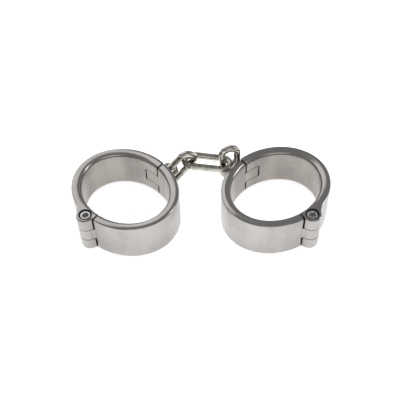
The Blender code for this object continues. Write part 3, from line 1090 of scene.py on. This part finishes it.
@dataclass
class LockScrew:
    """A hex-socket cap screw with a ribbed head and a cut thread."""

    cuff: Cuff
    radius: float = 2.0 * MM
    tip: float = 3.0 * MM               # its height, as all heights above the floor
    head_radius: float = 3.1 * MM
    head_top: float = 25.0 * MM
    head_height: float = 4.0 * MM
    head_round: float = 0.45 * MM
    head_steps: int = 6
    under_head_chamfer: float = 0.1 * MM
    socket_flats: float = 3.0 * MM
    socket_depth: float = 2.2 * MM
    socket_chamfer: float = 0.22 * MM
    socket_point: float = 0.4 * MM      # depth of the drill's cone under the socket
    pitch: float = 0.7 * MM
    thread_depth: float = 0.38 * MM
    thread_top: float = 17.0 * MM
    shank_margin: float = 0.05 * MM     # the thread leaves points further in than this
    tip_taper: float = 1.4              # in thread depths
    rows_per_turn: int = 6
    ribs: int = 40
    rib_radius: float = 0.13 * MM
    rib_sides: int = 8
    sides: int = 96

    def profile(self) -> list[tuple[float, float]]:
        """Draw half the screw's section.

        Returns:
            Radius and height, from the head's top down to the tip.
        """
        under = self.head_top - self.head_height
        points = [(0.0, self.head_top)]
        for step in range(self.head_steps + 1):
            angle = 0.5 * math.pi * step / self.head_steps
            points.append((self.head_radius - self.head_round * (1.0 - math.sin(angle)),
                           self.head_top - self.head_round * (1.0 - math.cos(angle))))
        points.append((self.head_radius, under + self.under_head_chamfer))
        points.append((self.head_radius - self.under_head_chamfer, under))
        points.append((self.radius, under))
        points.append((self.radius, self.thread_top + self.pitch))
        rows = round((self.thread_top - self.tip) / self.pitch * self.rows_per_turn)
        for row in range(rows + 1):
            height = self.thread_top + (self.tip + self.thread_depth - self.thread_top) * row / rows
            points.append((self.radius, height))
        points.append((self.radius - self.tip_taper * self.thread_depth, self.tip))
        points.append((0.0, self.tip))
        return points

    def thread_tree(self) -> bpy.types.NodeTree:
        """Make the tree that cuts the thread and sets ribs round the head.

        Returns:
            The geometry tree.
        """
        kinds = dict.fromkeys(
            ("Pitch", "Depth", "Thread Top", "Head Radius", "Rib Radius", "Rib Length", "Rib Height"),
            "Float")
        kinds |= {"Ribs": "Int", "Material": "Material"}
        tree = geometry_tree("screw_thread_and_ribs", kinds)
        given = tree.add("NodeGroupInput").outputs
        place = tree.add("GeometryNodeInputPosition").outputs[0]
        split = tree.add("ShaderNodeSeparateXYZ", {0: place}).outputs
        round_turn = tree.math("DIVIDE", tree.math("ARCTAN2", split["Y"], split["X"]), 2.0 * math.pi)
        turns = tree.math("SUBTRACT", tree.math("DIVIDE", split["Z"], given["Pitch"]), round_turn)
        wave = tree.math("PINGPONG", turns, 0.5)
        cut_in = tree.math("SUBTRACT", 1.0, tree.math("MULTIPLY", wave, 2.0))
        fade = tree.ramp(tree.math("SUBTRACT", given["Thread Top"], split["Z"]), 0.0, self.pitch)
        depth = tree.math("MULTIPLY", tree.math("MULTIPLY", cut_in, given["Depth"]), fade)
        flat = tree.vector("MULTIPLY", place, (1.0, 1.0, 0.0)).outputs[0]
        reach = tree.vector("LENGTH", flat).outputs["Value"]
        on_shank = tree.math("GREATER_THAN", reach, self.radius - self.shank_margin)
        outward = tree.vector("NORMALIZE", flat).outputs[0]
        amount = tree.math("MULTIPLY", tree.math("MULTIPLY", depth, on_shank), -1.0)
        threaded = tree.shift(given["Geometry"], outward, amount)
        ring = tree.add(
            "GeometryNodeMeshCircle", {"Vertices": given["Ribs"], "Radius": given["Head Radius"]})
        lifted = tree.add("ShaderNodeCombineXYZ", {"Z": given["Rib Height"]})
        raised = tree.add(
            "GeometryNodeTransform",
            {"Geometry": ring.outputs[0], "Translation": lifted.outputs[0]})
        rib = tree.add(
            "GeometryNodeMeshCylinder",
            {"Vertices": self.rib_sides, "Radius": given["Rib Radius"], "Depth": given["Rib Length"]})
        ribs = tree.add(
            "GeometryNodeInstanceOnPoints",
            {"Points": raised.outputs[0], "Instance": rib.outputs["Mesh"]})
        joined = tree.add("GeometryNodeJoinGeometry")
        tree.tree.links.new(threaded, joined.inputs[0])
        tree.tree.links.new(ribs.outputs[0], joined.inputs[0])
        tree.finish(joined.outputs[0], given["Material"])
        return tree.tree

    def build(self) -> None:
        """Make and dress the screw."""
        node = self.cuff.side + "_lock_screw"
        axis = node_centre(node)
        material = TURNED.material("_" + node, axis)
        screw = lathe(node + "_threaded", self.profile(), self.sides)
        corner = self.socket_flats / math.sqrt(3.0)
        socket = lathe("socket", [
            (0.0, self.head_top + self.head_height),
            (corner, self.head_top + self.head_height),
            (corner, self.head_top - self.socket_depth),
            (0.0, self.head_top - self.socket_depth - self.socket_point),
        ], SOCKET_SIDES)
        chamfer = countersink(
            Vector(), corner + self.socket_chamfer, self.head_top, SCREW_CHAMFER_SIDES)
        screw = cut(screw, [socket, chamfer])
        run_tree(screw, self.thread_tree(), {
            "Pitch": self.pitch,
            "Depth": self.thread_depth,
            "Thread Top": self.thread_top,
            "Head Radius": self.head_radius,
            "Rib Radius": self.rib_radius,
            "Rib Length": self.head_height - 2.0 * self.head_round,
            "Rib Height": self.head_top - self.head_height / 2.0,
            "Ribs": self.ribs,
            "Material": material,
        })
        screw = bake(screw)
        screw.data.transform(Matrix.Translation((axis.x, axis.y, 0.0)))
        shade(screw)
        dress(screw, [material], self.cuff.side + "_screw", node)


# ---------------------------------------------------------------- bent wire

@dataclass(frozen=True)
class Wire:
    """A bent round wire, which may have a butt weld."""

    radius: float
    hand_work: float                    # height of the bumps that hand work leaves
    weld_at: float = -1.0               # as a share of the way along; below 0 there is none
    weld_half_width: float = 1.0
    weld_swell: float = 0.0             # as a share of the radius
    section_sides: int = 40
    bump_scale: float = 260.0           # bumps per metre

    def tree(self) -> bpy.types.NodeTree:
        """Make the tree that sweeps the wire along a curve and raises the weld.

        Returns:
            The geometry tree, with the wire's sizes as named inputs.
        """
        kinds = dict.fromkeys(
            ("Wire Radius", "Weld At", "Weld Half Width", "Weld Swell", "Hand Work"), "Float")
        kinds |= {"Caps": "Bool", "Material": "Material"}
        tree = geometry_tree("wire_sweep", kinds)
        given = tree.add("NodeGroupInput").outputs
        along = tree.add("GeometryNodeSplineParameter").outputs["Factor"]
        away = tree.math("ABSOLUTE", tree.math("SUBTRACT", along, given["Weld At"]))
        bump = tree.math("SUBTRACT", 1.0, tree.math("DIVIDE", away, given["Weld Half Width"]))
        bump = tree.math("SQRT", tree.math("MAXIMUM", bump, 0.0))
        swell = tree.math("MULTIPLY_ADD", bump, given["Weld Swell"], 1.0)
        stretched = tree.add(
            "GeometryNodeSetCurveRadius", {"Curve": given["Geometry"], "Radius": swell})
        section = tree.add(
            "GeometryNodeCurvePrimitiveCircle",
            {"Resolution": self.section_sides, "Radius": given["Wire Radius"]}, mode="RADIUS")
        swept = tree.add(
            "GeometryNodeCurveToMesh",
            {"Curve": stretched.outputs[0], "Profile Curve": section.outputs["Curve"],
             "Fill Caps": given["Caps"]})
        ripple = tree.add(
            "ShaderNodeTexNoise",
            {"Scale": self.bump_scale, "Detail": 1.0}, noise_dimensions="3D")
        centred = tree.math("SUBTRACT", ripple.outputs["Fac"], 0.5)
        normal = tree.add("GeometryNodeInputNormal").outputs[0]
        amount = tree.math("MULTIPLY", centred, given["Hand Work"])
        worked = tree.shift(swept.outputs[0], normal, amount)
        merged = tree.add(
            "GeometryNodeMergeByDistance", {"Geometry": worked, "Distance": MERGE_DISTANCE})
        tree.finish(merged.outputs[0], given["Material"])
        return tree.tree

    def sweep(
        self, name: str, path: Sequence[Vector], closed: bool, material: bpy.types.Material
    ) -> bpy.types.Object:
        """Sweep the wire along a path.

        Args:
            name: The new object's name.
            path: World points.
            closed: Whether the path is a ring.
            material: Its finish.

        Returns:
            The wire as a plain mesh object.
        """
        curve = bpy.data.curves.new(name, "CURVE")
        curve.dimensions = "3D"
        spline = curve.splines.new("POLY")
        spline.points.add(len(path) - 1)
        for point, place in zip(spline.points, path):
            point.co = (*place, 1.0)
        spline.use_cyclic_u = closed
        thing = add_object(name, curve)
        run_tree(thing, self.tree(), {
            "Wire Radius": self.radius,
            "Hand Work": self.hand_work,
            "Weld At": self.weld_at,
            "Weld Half Width": self.weld_half_width,
            "Weld Swell": self.weld_swell,
            "Caps": not closed,
            "Material": material,
        })
        wire = bake(thing)
        shape = bmesh.new()
        shape.from_mesh(wire.data)
        bmesh.ops.remove_doubles(shape, verts=shape.verts, dist=MERGE_DISTANCE)
        bmesh.ops.recalc_face_normals(shape, faces=shape.faces)
        shape.to_mesh(wire.data)
        shape.free()
        shade(wire)
        return wire


@dataclass
class ChainEye:
    """The bent-wire U on the tongue's root, and the two weld beads at its feet."""

    cuff: Cuff
    wire: float = 3.0 * MM
    angle: float = math.radians(0.9)
    half_width: float = 4.35 * MM
    bow: float = 5.2 * MM
    foot: float = 0.3 * MM
    hand_work: float = 0.05 * MM
    bow_steps: int = 36
    leg_steps: int = 8
    bead_ripples: int = 11
    bead_sides: int = 88
    bead_steps: int = 8
    bead_clearance: float = 0.06 * MM
    bead_reach: float = 2.72 * MM           # its radius on the band
    bead_reach_ripple: float = 0.16 * MM
    bead_rise: float = 1.45 * MM
    bead_rise_ripple: float = 0.22 * MM
    bead_bulge: float = 0.10

    def point(self, across: float, out: float) -> Vector:
        """Find a world point by the eye.

        Args:
            across: Along the band's length from the eye's middle.
            out: Out from the band's surface.

        Returns:
            The point, at half the band's height.
        """
        base = self.cuff.shape.oval_radius(self.angle) + out
        x = base * math.cos(self.angle) - across * math.sin(self.angle)
        y = base * math.sin(self.angle) + across * math.cos(self.angle)
        return self.cuff.place(Vector((x, y)), self.cuff.shape.height / 2.0)

    def path(self) -> list[Vector]:
        """Follow the U from foot to foot.

        Returns:
            World points of its centre line.
        """
        legs = [self.foot + (self.bow - self.foot) * step / self.leg_steps
                for step in range(self.leg_steps)]
        points = [self.point(-self.half_width, out) for out in legs]
        for step in range(self.bow_steps + 1):
            turn = math.pi * step / self.bow_steps
            points.append(self.point(-self.half_width * math.cos(turn),
                                     self.bow + self.half_width * math.sin(turn)))
        points += [self.point(self.half_width, out) for out in reversed(legs)]
        return points

    def bead(self, name: str, across: float) -> bpy.types.Object:
        """Make a rippled fillet of weld round one foot.

        Args:
            name: The object's name.
            across: Which foot.

        Returns:
            The new piece.
        """
        inner = self.wire / 2.0 + self.bead_clearance
        shape = bmesh.new()
        rings = []
        for side in range(self.bead_sides):
            turn = 2.0 * math.pi * side / self.bead_sides
            wave = 0.5 + 0.5 * math.cos(self.bead_ripples * turn)
            reach = self.bead_reach + self.bead_reach_ripple * wave
            rise = self.bead_rise + self.bead_rise_ripple * wave
            section = [(inner, 0.0), (inner, rise)]
            for step in range(1, self.bead_steps):
                angle = 0.5 * math.pi * step / self.bead_steps
                bulge = 1.0 + self.bead_bulge * math.sin(2.0 * angle)
                section.append((inner + (reach - inner) * (1.0 - math.cos(angle)) * bulge,
                                rise * (1.0 - math.sin(angle)) * bulge))
            section.append((reach, 0.0))
            rings.append([
                shape.verts.new((radius * math.cos(turn), radius * math.sin(turn), height))
                for radius, height in section
            ])
        join_rings(shape, rings)
        bead = shape_to_object(name, shape)
        foot = self.point(across, self.foot)
        out = self.point(across, self.bow) - foot
        turned = out.to_track_quat("Z", "Y").to_matrix().to_4x4()
        bead.data.transform(Matrix.Translation(foot) @ turned)
        shade(bead)
        return bead

    def build(self) -> None:
        """Make and dress the eye and its welds."""
        side = self.cuff.side
        body = side + "_chain_side"
        material = POLISHED.material("_" + side + "_eye")
        wire = Wire(self.wire / 2.0, self.hand_work)
        eye = wire.sweep(side + "_chain_eye_wire", self.path(), False, material)
        dress(eye, [material], body, side + "_chain_eye")
        welded = WELD.material("_" + side)
        for label, across in (("front", -self.half_width), ("back", self.half_width)):
            bead = self.bead(side + "_" + label + "_weld_bead", across)
            dress(bead, [welded], body, side + "_" + label + "_weld")


@dataclass
class ChainLink:
    """A link of round wire, butt-welded in the middle of one side."""

    node: str
    body: str
    wire: float = 4.2 * MM
    length: float = 32.0 * MM
    width: float = 13.4 * MM
    end_steps: int = 28
    side_steps: int = 40
    weld_swell: float = 0.07
    weld_half_width: float = 0.018      # as a share of the way round
    hand_work: float = 0.07 * MM

    def __post_init__(self) -> None:
        """Measure the centre line: its round ends' radius and half its straight sides."""
        self.bend = (self.width - self.wire) / 2.0
        self.reach = (self.length - self.width) / 2.0

    def axes(self) -> tuple[Vector, Vector, Vector]:
        """Find how the CAD link lies.

        Returns:
            Its middle, its long direction and its broad direction.
        """
        mesh = bpy.data.objects[self.node].data
        points = np.array([vertex.co for vertex in mesh.vertices])
        middle = (points.min(axis=0) + points.max(axis=0)) / 2.0
        _, directions = np.linalg.eigh(np.cov((points - middle).T))
        return Vector(middle), Vector(directions[:, 2]), Vector(directions[:, 1])

    def path(self) -> list[Vector]:
        """Follow the link's centre line round: two straight sides and two half-round ends.

        Returns:
            World points of the closed line.
        """
        middle, along, across = self.axes()
        points = []
        for end in (1.0, -1.0):
            for step in range(self.side_steps):
                share = 2.0 * step / self.side_steps - 1.0
                points.append(middle + along * (end * share * self.reach)
                              - across * (end * self.bend))
            for step in range(self.end_steps):
                turn = math.pi * (step / self.end_steps - 0.5)
                points.append(middle + along * (end * (self.reach + self.bend * math.cos(turn)))
                              + across * (end * self.bend * math.sin(turn)))
        return points

    def build(self) -> None:
        """Make and dress the link."""
        weld_at = self.reach / (4.0 * self.reach + 2.0 * math.pi * self.bend)
        wire = Wire(self.wire / 2.0, self.hand_work, weld_at, self.weld_half_width, self.weld_swell)
        material = POLISHED.material("_" + self.node)
        link = wire.sweep(self.node + "_wire", self.path(), True, material)
        dress(link, [material], self.body, self.node)


# ---------------------------------------------------------------- studio

@dataclass(frozen=True)
class Softbox:
    """A rectangular studio light."""

    name: str
    place: Vector
    size: tuple[float, float]
    power: float
    mirrored: bool = True       # whether polished steel shows it
    target: Vector = Vector((0.0, 0.0, 0.0))

    def build(self) -> None:
        """Add the light."""
        light = bpy.data.lights.new(self.name, "AREA")
        light.shape = "RECTANGLE"
        light.size, light.size_y = self.size
        light.energy = self.power
        thing = add_object(self.name, light)
        thing.location = self.place
        thing.rotation_euler = (self.target - self.place).to_track_quat("-Z", "Y").to_euler()
        thing.visible_glossy = self.mirrored


@dataclass(frozen=True)
class Studio:
    """The floor, the lights, the surroundings and the camera."""

    elevation: float = math.radians(49.44)
    roll: float = math.radians(-1.75)
    distance: float = 0.4341
    target: Vector = Vector((-0.00077, 0.00144, 0.0105))
    lens: float = 65.1
    sensor: float = 36.0
    nearest: float = 0.01
    farthest: float = 20.0
    floor_reach: float = 4.0
    floor_tone: float = 0.93
    floor_glow: float = 0.58            # lifts the shadows, as a light table does
    horizon: float = 0.85               # the pale sweep behind the floor
    zenith: float = 0.32
    sweep_height: float = 0.30          # where the sweep has faded, as the sine of elevation

    def camera(self) -> None:
        """Add the camera."""
        data = bpy.data.cameras.new("camera")
        data.sensor_width = self.sensor
        data.lens = self.lens
        data.clip_start = self.nearest
        data.clip_end = self.farthest
        forward = Vector((0.0, math.cos(self.elevation), -math.sin(self.elevation)))
        level = Vector((1.0, 0.0, 0.0))
        upright = level.cross(forward)
        right = level * math.cos(self.roll) + upright * math.sin(self.roll)
        upward = upright * math.cos(self.roll) - level * math.sin(self.roll)
        place = self.target - forward * self.distance
        thing = add_object("camera", data)
        thing.matrix_world = Matrix((
            (right.x, upward.x, -forward.x, place.x),
            (right.y, upward.y, -forward.y, place.y),
            (right.z, upward.z, -forward.z, place.z),
            (0.0, 0.0, 0.0, 1.0),
        ))
        bpy.context.scene.camera = thing

    def floor(self) -> None:
        """Add the plain pale floor."""
        reach = self.floor_reach
        mesh = bpy.data.meshes.new("floor")
        corners = [
            (-reach, -reach, 0.0), (reach, -reach, 0.0), (reach, reach, 0.0), (-reach, reach, 0.0)]
        mesh.from_pydata(corners, [], [(0, 1, 2, 3)])
        thing = add_object("floor", mesh)
        material = bpy.data.materials.new("pale_floor")
        material.use_nodes = True
        shader = material.node_tree.nodes["Principled BSDF"]
        shader.inputs["Base Color"].default_value = (self.floor_tone,) * 3 + (1.0,)
        shader.inputs["Emission Color"].default_value = (1.0, 1.0, 1.0, 1.0)
        shader.inputs["Emission Strength"].default_value = self.floor_glow
        shader.inputs["Roughness"].default_value = 1.0
        shader.inputs["Specular IOR Level"].default_value = 0.0
        mesh.materials.append(material)

    def surroundings(self) -> None:
        """Light the room dimly, with a pale sweep low down all round."""
        world = bpy.data.worlds.new("studio")
        world.use_nodes = True
        tree = Tree(world.node_tree)
        back = world.node_tree.nodes["Background"]
        way = tree.add("ShaderNodeNewGeometry").outputs["Incoming"]
        height = tree.math("ABSOLUTE", tree.add("ShaderNodeSeparateXYZ", {0: way}).outputs["Z"])
        fade = tree.ramp(height, 0.0, self.sweep_height)
        tone = tree.math("MULTIPLY_ADD", fade, self.zenith - self.horizon, self.horizon)
        world.node_tree.links.new(tone, back.inputs["Color"])
        bpy.context.scene.world = world
        bpy.context.scene.view_settings.view_transform = "Standard"

    def build(self) -> None:
        """Set up the whole studio."""
        self.camera()
        self.floor()
        self.surroundings()
        for light in (
            Softbox("overhead", Vector((0.0, -0.05, 1.1)), size=(1.5, 1.1), power=7.0, mirrored=False),
            Softbox("back_left", Vector((-0.72, 0.85, 0.90)), size=(1.5, 1.3), power=5.2),
            Softbox("front_fill", Vector((0.3, -1.2, 0.8)), size=(1.2, 0.8), power=2.0),
            Softbox("right_strip", Vector((0.95, 0.1, 0.45)), size=(0.25, 0.9), power=1.8),
        ):
            light.build()


# ---------------------------------------------------------------- whole


def main() -> None:
    """Build the looks around the frame."""
    logging.basicConfig(level=logging.INFO, format="%(name)s %(message)s")
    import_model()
    shape = CuffShape()
    Cuff("left", False, shape).build()
    Cuff("right", True, shape).build()
    ChainLink("left_end_link", "left_link").build()
    ChainLink("middle_link", "middle_link").build()
    ChainLink("right_end_link", "right_link").build()
    Studio().build()


if __name__ == "__main__":
    main()
